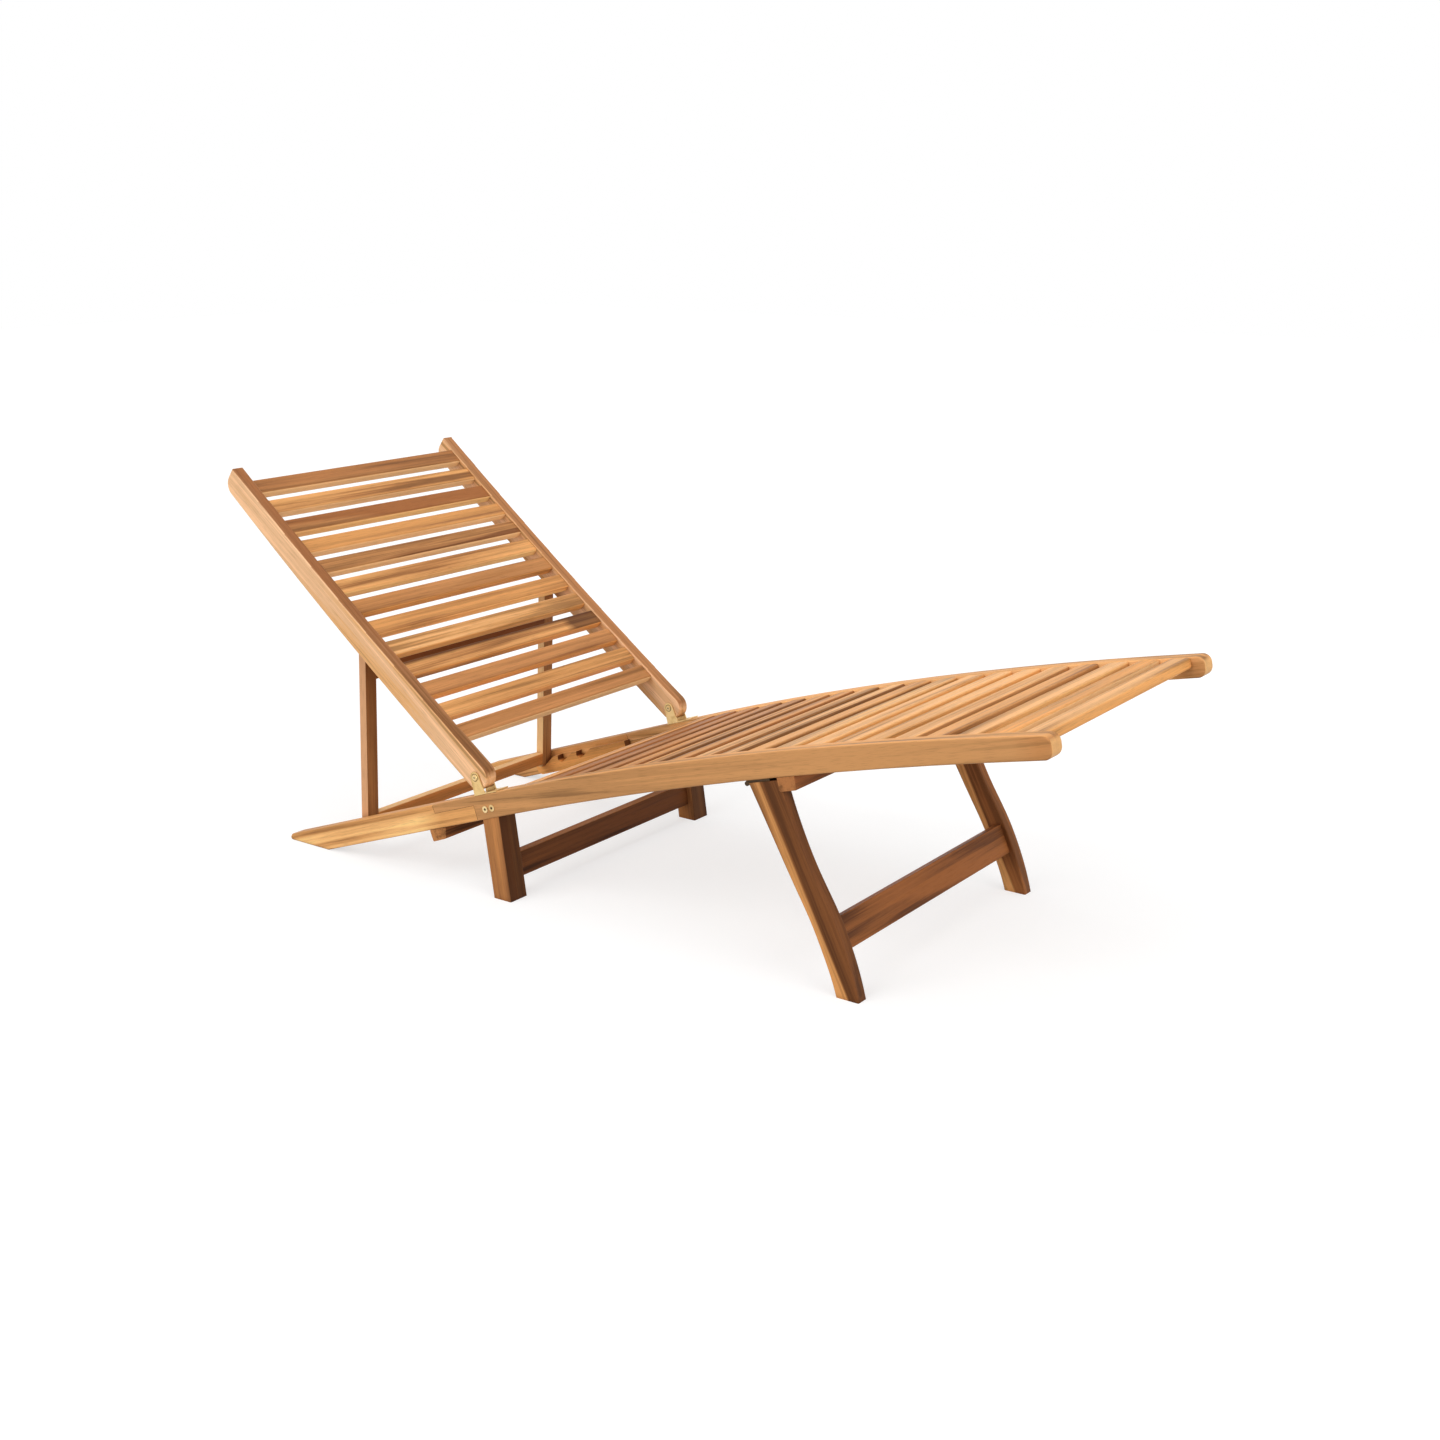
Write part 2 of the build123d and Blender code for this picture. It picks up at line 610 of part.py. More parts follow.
# Front leg: a sabre board, notched round the stop rail
knee = on_hinge(hinge_knuckle + notch_gap, front_leg_gap)
shelf_back = (stop_start[0] - stop_gap * stop_turn[0] + front_leg_gap * stop_turn[1],
              stop_start[1] - stop_gap * stop_turn[1] - front_leg_gap * stop_turn[0])
shelf_low = (stop_low[0] - stop_gap * (stop_turn[0] - stop_turn[1]), stop_low[1] - stop_gap * (stop_turn[0] + stop_turn[1]))
shelf_front = (shelf_low[0] + shelf_long * stop_turn[0], shelf_low[1] + shelf_long * stop_turn[1])
foot_rear = (front_foot_rear_x, 0)
foot_front = (front_foot_rear_x + front_foot_wide, 0)
rear_points = [beside(foot_rear, knee, share, out) for share, out in leg_rear_curve]
front_points = [beside(foot_front, shelf_front, share, out) for share, out in leg_front_curve]
leg_edges = [
    Spline(foot_rear, *rear_points, knee),
    Line(knee, shelf_back),
    Line(shelf_back, shelf_low),
    Line(shelf_low, shelf_front),
    Spline(shelf_front, *reversed(front_points), foot_front),
    Line(foot_front, foot_rear),
]
front_leg = eased(slab(leg_edges, leg_y_low, leg_y_high), long_edge)


def leg_front_at(height):
    """X of the front leg's front edge at a height, along its points."""
    line = [foot_front, *front_points, shelf_front]
    for a, b in zip(line, line[1:]):
        if a[1] <= height <= b[1]:
            return a[0] + (b[0] - a[0]) * (height - a[1]) / (b[1] - a[1])
    return line[-1][0]


# Stretcher between the front legs
down = turned(front_stretcher_lean - 90)
back = turned(180 + front_stretcher_lean)
face_top = (leg_front_at(front_stretcher_top_z) - front_stretcher_inset, front_stretcher_top_z)
face_low = (face_top[0] + front_stretcher_tall * down[0], face_top[1] + front_stretcher_tall * down[1])
rear_low = (face_low[0] + front_stretcher_thick * back[0], face_low[1] + front_stretcher_thick * back[1])
rear_top = (face_top[0] + front_stretcher_thick * back[0], face_top[1] + front_stretcher_thick * back[1])
front_stretcher = slab(poly(face_top, face_low, rear_low, rear_top), -leg_y_low, leg_y_low)
parts["front_leg_stretcher"] = fillet(front_stretcher.edges().filter_by(Axis.Y), edge_round)

parts["rear_leg_stretcher"] = rear_stretcher
for name, solid in (("seat_rail", seat_rail), ("rear_rail", rear_rail), ("ratchet_cleat", cleat),
                    ("rear_leg", rear_leg), ("back_bracket", bracket), ("back_rail", back_rail),
                    ("prop", prop), ("front_leg", front_leg)):
    parts[name + "_left"], parts[name + "_right"] = pair(solid)

# Origin in the middle of the box, on the floor
box = Compound(children=[Compound(s.wrapped) for s in parts.values()]).bounding_box()
shift = -(box.min.X + box.max.X) / 2
middle = Pos(shift, 0, 0)
print("moved in X by", shift, "size", box.size)
for label, spot in (("back", (pivot_x, pivot_height)), ("prop", prop_top), ("leg", hinge_axis), ("notch", foot)):
    print(label, "axis at", spot[0] + shift, spot[1])
os.makedirs("parts", exist_ok=True)
for name, solid in parts.items():
    export_step(middle * solid, "parts/%s.step" % name)
print(len(parts), "nodes")
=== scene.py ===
import math
import random

import bmesh
import bpy
from mathutils import Matrix, Vector


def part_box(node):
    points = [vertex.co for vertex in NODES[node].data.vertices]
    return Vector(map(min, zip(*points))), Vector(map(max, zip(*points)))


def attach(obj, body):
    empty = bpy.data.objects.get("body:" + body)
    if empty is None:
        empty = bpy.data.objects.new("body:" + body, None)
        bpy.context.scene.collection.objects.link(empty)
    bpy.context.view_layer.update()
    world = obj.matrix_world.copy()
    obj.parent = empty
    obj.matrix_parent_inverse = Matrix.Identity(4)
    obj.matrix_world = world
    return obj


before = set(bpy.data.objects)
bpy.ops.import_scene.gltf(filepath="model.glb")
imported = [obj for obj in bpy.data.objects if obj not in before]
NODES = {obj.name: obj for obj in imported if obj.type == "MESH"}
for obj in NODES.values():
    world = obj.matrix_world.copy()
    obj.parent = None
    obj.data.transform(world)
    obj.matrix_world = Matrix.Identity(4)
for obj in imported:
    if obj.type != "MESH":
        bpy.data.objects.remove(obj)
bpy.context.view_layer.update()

FAR = "left"
NEAR = "right"

# Places in metres, from the frame where a node tells them. Lengths along a seat rail are X from
# rail zero, where the straight line of its top edge is RAIL_TOP above the floor.
rail_low, rail_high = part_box("seat_rail_left")
pin_low, pin_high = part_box("back_pivot_pin_left")
bolts_low, bolts_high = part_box("rear_leg_bolts")
RAIL_OUTER = rail_high.y
RAIL_INNER = rail_low.y
RAIL_MIDDLE = (RAIL_OUTER + RAIL_INNER) / 2
RAIL_TOP = 0.199
RAIL_SLOPE = math.radians(19.34)
RAIL_REAR_END = -0.144
RAIL_ZERO = rail_low.x - RAIL_REAR_END
PIVOT = ((pin_low.x + pin_high.x) / 2, (pin_low.z + pin_high.z) / 2)
BOLT_HEAD = 0.0062
BOLT_HEADS = (
    (bolts_low.x + BOLT_HEAD, bolts_low.z + BOLT_HEAD),
    (bolts_high.x - BOLT_HEAD, bolts_high.z - BOLT_HEAD),
)

# Directions that faces and planes are told by.
AHEAD = (1, 0, 0)
LEFT = (0, 1, 0)
RIGHT = (0, -1, 0)
UP = (0, 0, 1)
UP_RAIL = (-math.sin(RAIL_SLOPE), 0, math.cos(RAIL_SLOPE))
OUT_OF_BACK = (0.586, 0, 0.810)
UP_BACK = (-0.810, 0, 0.586)
DOWN_BACK = (0.810, 0, -0.586)
UPPER_FRONT = (0.8, 0, 0.6)
OUT_OF_FRONT_LEG = (0.884, 0, 0.467)

NO_TURN = (0, 0, 0)
FULL_SIZE = (1, 1, 1)
WHITE = (1, 1, 1, 1)


def tint(red, green, blue):
    """Linear colour from values as on screen, 0 to 255."""
    def linear(value):
        value = value / 255.0
        return value / 12.92 if value <= 0.04045 else ((value + 0.055) / 1.055) ** 2.4

    return (linear(red), linear(green), linear(blue), 1.0)


def scaled(colour, share):
    """The colour made lighter or darker by a share, with no channel past 1."""
    return tuple(min(1.0, share * channel) for channel in colour[:3]) + (1.0,)


# Palette: woods from pale to dark, then the painted shade of sockets and of corners.
CREAM = tint(255, 210, 152)
SAP = tint(248, 192, 126)
FLAME = tint(250, 186, 116)
PEACH = tint(233, 186, 142)
PALE = tint(232, 176, 118)
WHEAT = tint(217, 164, 122)
AMBER = tint(228, 160, 90)
GOLD = tint(216, 156, 96)
HONEY = tint(202, 142, 84)
BISCUIT = tint(189, 137, 87)
CLAY = tint(198, 126, 66)
OAK = tint(186, 128, 78)
TAN = tint(178, 120, 70)
NUT = tint(164, 108, 64)
RUSSET = tint(154, 95, 53)
BROWN = tint(146, 90, 49)
COCOA = tint(110, 65, 34)
UMBER = tint(98, 58, 30)
DUSK = tint(72, 38, 15)
HOLLOW_SHADE = tint(58, 44, 28)
CORNER_SHADE = (0.42, 0.33, 0.25, 1.0)

# Painted corner shade: share of open sky at which a corner is darkest, and at which it is clear.
CORNER_DARK = 0.12
CORNER_CLEAR = 0.78
CORNER_SAMPLES = 6

# Sockets of the Mix node that carry colours.
MIX_FIRST = 6
MIX_SECOND = 7
MIX_RESULT = 2


class Shader:
    """Adds nodes to one material and links them."""

    def __init__(self, name):
        self.mat = bpy.data.materials.new(name)
        self.mat.use_nodes = True
        self.tree = self.mat.node_tree
        self.bsdf = self.tree.nodes["Principled BSDF"]

    def add(self, kind, **values):
        """A new node with these settings."""
        node = self.tree.nodes.new(kind)
        for key, value in values.items():
            setattr(node, key, value)
        return node

    def link(self, source, socket):
        """Link an output to an input."""
        self.tree.links.new(source, socket)

    def feed(self, socket, value):
        """Give a socket a plain value, or link it to another node's output."""
        if isinstance(value, (int, float, tuple)):
            socket.default_value = value
        else:
            self.link(value, socket)

    def mapping(self, source, rotation, scale, offset):
        """A place turned, scaled and moved."""
        node = self.add("ShaderNodeMapping")
        node.inputs["Rotation"].default_value = rotation
        node.inputs["Scale"].default_value = scale
        node.inputs["Location"].default_value = offset
        self.link(source, node.inputs["Vector"])
        return node.outputs["Vector"]

    def noise(self, vector, scale, detail, rough, distortion=0.0):
        """Cloudy noise, mostly near one half."""
        node = self.add("ShaderNodeTexNoise")
        node.inputs["Scale"].default_value = scale
        node.inputs["Detail"].default_value = detail
        node.inputs["Roughness"].default_value = rough
        node.inputs["Distortion"].default_value = distortion
        self.link(vector, node.inputs["Vector"])
        return node.outputs["Fac"]

    def math(self, how, first, second):
        """Two values put together by one operation."""
        node = self.add("ShaderNodeMath", operation=how)
        self.feed(node.inputs[0], first)
        self.feed(node.inputs[1], second)
        return node.outputs[0]

    def dot(self, vector, direction):
        """How far a vector reaches along a direction."""
        node = self.add("ShaderNodeVectorMath", operation="DOT_PRODUCT")
        self.link(vector, node.inputs[0])
        node.inputs[1].default_value = direction
        return node.outputs["Value"]

    def length(self, vector):
        """The length of a vector."""
        node = self.add("ShaderNodeVectorMath", operation="LENGTH")
        self.link(vector, node.inputs[0])
        return node.outputs["Value"]

    def ramp(self, fac, stops):
        """Colours blended between stops, each a (place, colour)."""
        node = self.add("ShaderNodeValToRGB")
        points = node.color_ramp.elements
        while len(points) < len(stops):
            points.new(0.5)
        for point, (place, colour) in zip(points, stops):
            point.position = place
            point.color = colour
        self.link(fac, node.inputs["Fac"])
        return node.outputs["Color"]

    def span(self, value, low, high, new_low, new_high):
        """The value carried from one range to another, held at its ends."""
        node = self.add("ShaderNodeMapRange")
        node.inputs["From Min"].default_value = low
        node.inputs["From Max"].default_value = high
        node.inputs["To Min"].default_value = new_low
        node.inputs["To Max"].default_value = new_high
        self.link(value, node.inputs["Value"])
        return node.outputs["Result"]

    def mix(self, fac, first, second, how="MIX"):
        """Two colours mixed by a share."""
        node = self.add("ShaderNodeMix", data_type="RGBA", blend_type=how)
        self.feed(node.inputs[0], fac)
        self.feed(node.inputs[MIX_FIRST], first)
        self.feed(node.inputs[MIX_SECOND], second)
        return node.outputs[MIX_RESULT]

    def painted_corner_shade(self, colour, reach):
        """Painted shade: darken a colour where other surfaces stand close, as shade falls in
        corners.
        """
        node = self.add("ShaderNodeAmbientOcclusion", samples=CORNER_SAMPLES)
        node.inputs["Distance"].default_value = reach
        corner_shading = self.ramp(node.outputs["AO"], [(CORNER_DARK, CORNER_SHADE), (CORNER_CLEAR, WHITE)])
        return self.mix(1.0, colour, corner_shading, "MULTIPLY")

    def bump(self, height, strength, distance):
        """Relief on the surface."""
        node = self.add("ShaderNodeBump")
        node.inputs["Strength"].default_value = strength
        node.inputs["Distance"].default_value = distance
        self.link(height, node.inputs["Height"])
        self.link(node.outputs["Normal"], self.bsdf.inputs["Normal"])


# Noises of the wood: scale along the grain and across it, start, detail, roughness, distortion.
BROAD_GRAIN = ((0.8, 40, 40), (0, 0, 0), 4, 0.55, 0.3)
FINE_GRAIN = ((2.4, 150, 150), (3, 1, 2), 5, 0.66, 0.2)
PORES = ((34, 1100, 1100), (1, 5, 4), 2, 0.5, 0.0)
PATCHES = ((1.8, 15, 15), (7, 2, 6), 2, 0.5, 0.3)
SEED_REACH = 9

# Growth rings: scale along the grain and across it, start, and the wave's values.
RING_SCALE = (0.01, 1, 1)
RING_START = (2, 8, 5)
RING_VALUES = {"Scale": 24, "Distortion": 5.5, "Detail": 3, "Detail Scale": 1.2}

# Shares of the noises in the tone. The rings' share grows with the figure of the board.
BROAD_SHARE = 0.32
FINE_SHARE = 0.30
PATCH_SHARE = 0.38
RING_SHARE = 0.07

# Tones at which a board's colours stand, from deepest to palest, and those of a shade over them.
BOARD_STOPS = (0.415, 0.455, 0.48, 0.51, 0.55)
BOARD_DEEP = 0.60
BOARD_LIT = 1.20
MIDDLE_DARK = 0.4
MIDDLE_LIGHT = 0.6
COVER_STOPS = (0.435, 0.49, 0.545)
COVER_DEEP = 0.58
COVER_LIT = 1.22

# Ranges, each from low and high to new low and new high, or to limits that a face brings.
FACE_TURNED = (0.6, 0.9)
VEINS = (0.36, 0.54, 0.78, 1.0)
STREAKS = (0.92, 1.06, 0.0, 1.0)
FLECKS = (0.30, 0.45, 0.76, 1.0)
WOOD_ROUGHNESS = (0.3, 0.7, 0.40, 0.58)

BAND_SWAY = 3.0
WOOD_SPECULAR = 0.1
# Reach of the painted shade in the corners of wood.
WOOD_CORNER_REACH = 0.016
WOOD_RELIEF = 0.22
WOOD_RELIEF_DEPTH = 0.0006
FINE_RELIEF = 0.6
FLECK_RELIEF = 0.4


class Wood(Shader):
    """Oiled hardwood whose grain runs along local X after a turn."""

    def __init__(self, name, turn, seed, figure):
        super().__init__(name)
        coords = self.add("ShaderNodeTexCoord")
        self.place = coords.outputs["Object"]
        self.normal = coords.outputs["Normal"]
        rng = random.Random(seed)
        away = tuple(rng.uniform(-SEED_REACH, SEED_REACH) for _ in range(3))
        local = self.mapping(self.place, turn, FULL_SIZE, away)
        self.broad = self.grain(local, *BROAD_GRAIN)
        self.fine = self.grain(local, *FINE_GRAIN)
        self.pore = self.grain(local, *PORES)
        self.patch = self.grain(local, *PATCHES)
        self.tone = self.blended(self.rings(local), figure)

    def grain(self, local, scale, start, detail, rough, distortion):
        """Noise drawn out along the grain."""
        drawn = self.mapping(local, NO_TURN, scale, start)
        return self.noise(drawn, 1.0, detail, rough, distortion)

    def rings(self, local):
        """Growth rings, as bent bands."""
        node = self.add("ShaderNodeTexWave", wave_type="BANDS", wave_profile="SIN")
        node.bands_direction = "DIAGONAL"
        for key, number in RING_VALUES.items():
            node.inputs[key].default_value = number
        self.link(self.mapping(local, NO_TURN, RING_SCALE, RING_START), node.inputs["Vector"])
        return node.outputs["Fac"]

    def blended(self, ring, figure):
        """The tone: how light the wood is at a place, from its noises and rings."""
        share = RING_SHARE * figure
        tone = self.math("MULTIPLY", self.broad, BROAD_SHARE - share / 2)
        tone = self.math("ADD", tone, self.math("MULTIPLY", ring, share))
        tone = self.math("ADD", tone, self.math("MULTIPLY", self.fine, FINE_SHARE))
        return self.math("ADD", tone, self.math("MULTIPLY", self.patch, PATCH_SHARE - share / 2))

    def board(self, light, dark):
        """The board's own colours, from its dark grain to its light."""
        middle = tuple(MIDDLE_DARK * x + MIDDLE_LIGHT * y for x, y in zip(dark, light))
        shades = (scaled(dark, BOARD_DEEP), dark, middle, light, scaled(light, BOARD_LIT))
        return self.ramp(self.tone, list(zip(BOARD_STOPS, shades)))

    def cover(self, colour, mask, shade):
        """Another shade, with the same grain in it, over a colour."""
        shades = (scaled(shade, COVER_DEEP), shade, scaled(shade, COVER_LIT))
        return self.mix(mask, colour, self.ramp(self.tone, list(zip(COVER_STOPS, shades))))

    def band(self, colour, normal, offset, soft, shade, strength):
        """Another shade beyond a plane, with an edge that sways as the grain does."""
        sway = self.math("MULTIPLY", self.math("SUBTRACT", self.patch, 0.5), BAND_SWAY * soft)
        wavy = self.math("ADD", self.dot(self.place, normal), sway)
        mask = self.span(wavy, offset - soft, offset + soft, 0.0, strength)
        return self.cover(colour, mask, shade)

    def face(self, colour, direction, shade, strength, manner="plain"):
        """Another shade on faces turned one way: on some boards heartwood where the saw met
        other growth rings, on others painted light and painted shade by side.
        """
        mask = self.span(self.dot(self.normal, direction), *FACE_TURNED, 0.0, strength)
        if manner == "streaked":
            veins = self.span(self.math("ADD", self.broad, self.patch), *STREAKS)
        else:
            veins = self.span(self.broad, *VEINS)
        mask = self.math("MULTIPLY", mask, veins)
        # A flat shade with no grain, for painted highlights.
        if manner == "even":
            return self.mix(mask, colour, shade)
        return self.cover(colour, mask, shade)

    def oil_and_shade_corners(self, colour):
        """Pores, painted shade in corners, an oiled sheen and a slight relief."""
        flecks = self.span(self.pore, *FLECKS)
        colour = self.mix(1.0, colour, flecks, "MULTIPLY")
        self.link(self.painted_corner_shade(colour, WOOD_CORNER_REACH), self.bsdf.inputs["Base Color"])
        self.link(self.span(self.fine, *WOOD_ROUGHNESS), self.bsdf.inputs["Roughness"])
        self.bsdf.inputs["Specular IOR Level"].default_value = WOOD_SPECULAR
        height = self.math("MULTIPLY", self.fine, FINE_RELIEF)
        height = self.math("ADD", height, self.math("MULTIPLY", flecks, FLECK_RELIEF))
        self.bump(height, WOOD_RELIEF, WOOD_RELIEF_DEPTH)


def wood(name, turn, light, dark, seed, figure=0.5, bands=(), faces=()):
    """One board's material. A band is (normal, offset, softness, colour, strength). A face is
    (direction, colour, strength), and may end with a manner: streaked lets the colour come and
    go as heartwood does, even keeps the board's tones out of it for a flat painted highlight,
    and plain is as without one."""
    s = Wood(name, turn, seed, figure)
    colour = s.board(light, dark)
    for band in bands:
        colour = s.band(colour, *band)
    for face in faces:
        colour = s.face(colour, *face)
    s.oil_and_shade_corners(colour)
    return s.mat


# Brass: the noises of its brushing and its tarnish, their ranges, and its relief.
BRUSHING_TURN = (0, 0.3, 0)
BRUSHING_SCALE = (90, 900, 900)
BRUSHING_START = (1, 2, 3)
TARNISH_SCALE = 60
TARNISH_START = (4, 4, 1)
TARNISH_DULL = 0.34
TARNISH_CLEAR = 0.56
BRUSHED_DULL = (0.3, 0.7, 0.0, 0.35)
BRASS_ROUGHNESS = (0.3, 0.7, 0.28, 0.44)
BRASS_METALLIC = 0.75
# Reach of the painted shade in the corners of brass.
BRASS_CORNER_REACH = 0.006
BRASS_RELIEF = 0.12
BRASS_RELIEF_DEPTH = 0.0003
HOLLOW_EDGE = 0.0003


def shade_hollow(s, place, tone, x, z, inner, outer, strength):
    """Painted shade: a dark ring round an axis along Y, or a dark disc where inner is 0."""
    away = s.length(s.mapping(place, NO_TURN, (1, 0, 1), (-x, 0, -z)))
    mask = s.span(away, outer - HOLLOW_EDGE, outer + HOLLOW_EDGE, strength, 0.0)
    if inner > 0:
        beyond = s.span(away, inner - HOLLOW_EDGE, inner + HOLLOW_EDGE, 0.0, 1.0)
        mask = s.math("MULTIPLY", mask, beyond)
    return s.mix(mask, tone, HOLLOW_SHADE)


def brass(name, colour, dull, shaded_hollows=()):
    """Rolled brass with faint brushing and darker spots of tarnish. Each ring or disc of painted
    shade is (x, z, inner, outer, strength), for sockets and the rims of heads."""
    s = Shader(name)
    place = s.add("ShaderNodeTexCoord").outputs["Object"]
    drawn = s.mapping(place, BRUSHING_TURN, BRUSHING_SCALE, BRUSHING_START)
    brushed = s.noise(drawn, 1.0, 3, 0.6)
    moved = s.mapping(place, NO_TURN, FULL_SIZE, TARNISH_START)
    spots = s.noise(moved, TARNISH_SCALE, 3, 0.55, 0.4)
    tone = s.ramp(spots, [(TARNISH_DULL, dull), (TARNISH_CLEAR, colour)])
    tone = s.mix(s.span(brushed, *BRUSHED_DULL), tone, dull)
    for ring in shaded_hollows:
        tone = shade_hollow(s, place, tone, *ring)
    # Painted shade where other surfaces stand close.
    s.link(s.painted_corner_shade(tone, BRASS_CORNER_REACH), s.bsdf.inputs["Base Color"])
    s.link(s.span(brushed, *BRASS_ROUGHNESS), s.bsdf.inputs["Roughness"])
    s.bsdf.inputs["Metallic"].default_value = BRASS_METALLIC
    s.bump(brushed, BRASS_RELIEF, BRASS_RELIEF_DEPTH)
    return s.mat


def along(degrees):
    """Turn that lays a piece pointing this way in the X-Z plane along local X."""
    return (0, math.radians(degrees), 0)


# Ways that the grain runs.
ALONG_Y = (0, 0, math.radians(-90))
ALONG_SEAT_RAIL = along(15)
ALONG_REAR_RAIL = along(19.3)
ALONG_REAR_LEG = along(98.3)
ALONG_FRONT_LEG = along(117)
ALONG_BACK_RAIL = along(142.4)
ALONG_PROP = along(87)


def paint(node, material):
    """Give a CAD node one material in place of its own."""
    mesh = NODES[node].data
    mesh.materials.clear()
    mesh.materials.append(material)


def dress(node, turn, light, dark, seed, figure=0.5, bands=(), faces=()):
    """Give a CAD node a wood of its own, so that no two boards are alike."""
    paint(node, wood(node, turn, light, dark, seed, figure, bands, faces))


# Places of the bands on the rails and front legs.
NOSE = 0.04
LAP_BAND = 0.012
SAPWOOD_END = -0.36
FRONT_LEG_FACE = 0.4765


def dress_seat_rail(side, number):
    """A seat rail, golden on the far side and browner on the near one, the far one's pale
    colours painted light, with its sawn nose painted pale as a highlight.
    """
    light, dark = (PALE, GOLD) if side == FAR else (BISCUIT, BISCUIT)
    bands = [(AHEAD, rail_high.x - NOSE, 0.02, TAN, 0.6)]
    faces = [(UP_RAIL, GOLD, 0.9), (AHEAD, SAP, 0.8, "even")]
    dress("seat_rail_" + side, ALONG_SEAT_RAIL, light, dark, 10 + number, 0.9, bands, faces)


def dress_rear_rail(side, number):
    """A rear rail of pale sapwood, darker at its top edge and towards the lap joint."""
    top_line = RAIL_TOP * math.cos(RAIL_SLOPE) - RAIL_ZERO * math.sin(RAIL_SLOPE)
    bands = [
        (UP_RAIL, top_line - LAP_BAND, 0.002, HONEY, 0.8),
        (AHEAD, SAPWOOD_END, 0.03, HONEY, 0.85),
    ]
    dress("rear_rail_" + side, ALONG_REAR_RAIL, SAP, GOLD, 20 + number, 0.5, bands)


def dress_cleat(side, number):
    """A notched cleat, with painted shade on its forward faces, the walls inside its notches."""
    faces = [(AHEAD, UMBER, 1.0)]
    dress("ratchet_cleat_" + side, ALONG_REAR_RAIL, AMBER, HONEY, 30 + number, 0.4, (), faces)


def dress_rear_leg(side, number):
    """A rear leg, dark on its front face: partly darker wood, partly painted shade under the
    seat.
    """
    faces = [(AHEAD, DUSK, 0.95)]
    dress("rear_leg_" + side, ALONG_REAR_LEG, TAN, NUT, 40 + number, 0.6, (), faces)


def dress_front_leg(side, number):
    """A front leg, darker in a band along its front."""
    light, front_band_colour = (GOLD, BROWN) if side == FAR else (HONEY, COCOA)
    bands = [(OUT_OF_FRONT_LEG, FRONT_LEG_FACE, 0.002, front_band_colour, 0.95)]
    dress("front_leg_" + side, ALONG_FRONT_LEG, light, TAN, 50 + number, 0.5, bands)


def dress_back_rail(side, number):
    """A back rail, pale on its sides and brown on its front: painted light on the sides, painted
    shade on the front.
    """
    faces = [(OUT_OF_BACK, NUT if side == FAR else BROWN, 0.95)]
    dress("back_rail_" + side, ALONG_BACK_RAIL, PEACH, PALE, 60 + number, 0.6, (), faces)


def dress_prop(side, number):
    """A prop, brown on its front as painted shade, and pale on the side that is turned to the
    camera as painted light.
    """
    front, lit_flank = (NUT, CREAM) if side == FAR else (BROWN, WHEAT)
    faces = [(AHEAD, front, 0.85), (RIGHT, lit_flank, 0.95, "even")]
    dress("prop_" + side, ALONG_PROP, GOLD, HONEY, 70 + number, 0.4, (), faces)


def dress_crosswise():
    """Rails, stretchers and the foot bar, which run from side to side."""
    # The rear cross rail is a dark copy of the wood, painted shade under the seat, its end faces
    # painted lighter as lit.
    ends = [(LEFT, TAN, 0.9), (RIGHT, TAN, 0.9)]
    dress("rear_cross_rail", ALONG_Y, BROWN, UMBER, 81, 0.5, (), ends)
    ends = [(LEFT, NUT, 0.9), (RIGHT, NUT, 0.9)]
    dress("leg_stop_rail", ALONG_Y, RUSSET, BROWN, 82, 0.5, (), ends)
    # The rear leg stretcher is painted very dark as shade under the seat, its top lighter as
    # painted light.
    dress("rear_leg_stretcher", ALONG_Y, COCOA, DUSK, 83, 0.2, (), [(UP, NUT, 0.9)])
    # The foot bar's top is painted pale and flat, a painted highlight.
    faces = [(AHEAD, CLAY, 1.0), (UP, CREAM, 0.9, "even")]
    dress("prop_foot_bar", ALONG_Y, GOLD, HONEY, 84, 0.5, (), faces)
    # The prop cross rail is a dark copy of the wood, painted shade under the seat.
    dress("prop_cross_rail", ALONG_Y, BROWN, UMBER, 85)
    dress("front_leg_stretcher", ALONG_Y, BROWN, COCOA, 86, 0.2)


# Seat slats, counted from the rear: light and dark tones, and the colours of the front edges.
SEAT_SLATS = 19
SEAT_TONES = {
    1: (GOLD, HONEY),
    # Slats 2 to 7 are painted darker towards the back: painted shade that the back casts.
    2: (NUT, BROWN),
    3: (TAN, NUT),
    4: (OAK, TAN),
    5: (HONEY, OAK),
    6: (GOLD, HONEY),
    7: (HONEY, OAK),
    10: (GOLD, TAN),
    11: (SAP, PALE),
    12: (PALE, HONEY),
    16: (GOLD, TAN),
    18: (AMBER, GOLD),
}
# Front edges: tan on the darker boards, paler on the seventeenth and eighteenth as a painted
# highlight. The rear slats, up to the ninth, get painted shade of the gaps on their upper edges.
SEAT_EDGES = {10: TAN, 15: TAN, 16: TAN, 17: FLAME, 18: CREAM}
LAST_SHADED_SEAT_EDGE = 9
LIT_SEAT_EDGE = 18


def dress_seat_slat(i):
    """A seat slat. The rear ones have brown upper edges, painted shade of the gaps, the others
    mostly amber front edges, painted paler on the seventeenth and eighteenth as a highlight.
    """
    light, dark = SEAT_TONES.get(i, (PALE, GOLD))
    if i <= LAST_SHADED_SEAT_EDGE:
        faces = [(UPPER_FRONT, BROWN, 0.9)]
    else:
        manner = "even" if i == LIT_SEAT_EDGE else "plain"
        faces = [(AHEAD, SEAT_EDGES.get(i, AMBER), 0.85, manner)]
    figure = 0.4 + 0.4 * (i % 2)
    dress("seat_slat_%02d" % i, ALONG_Y, light, dark, 200 + i, figure, (), faces)


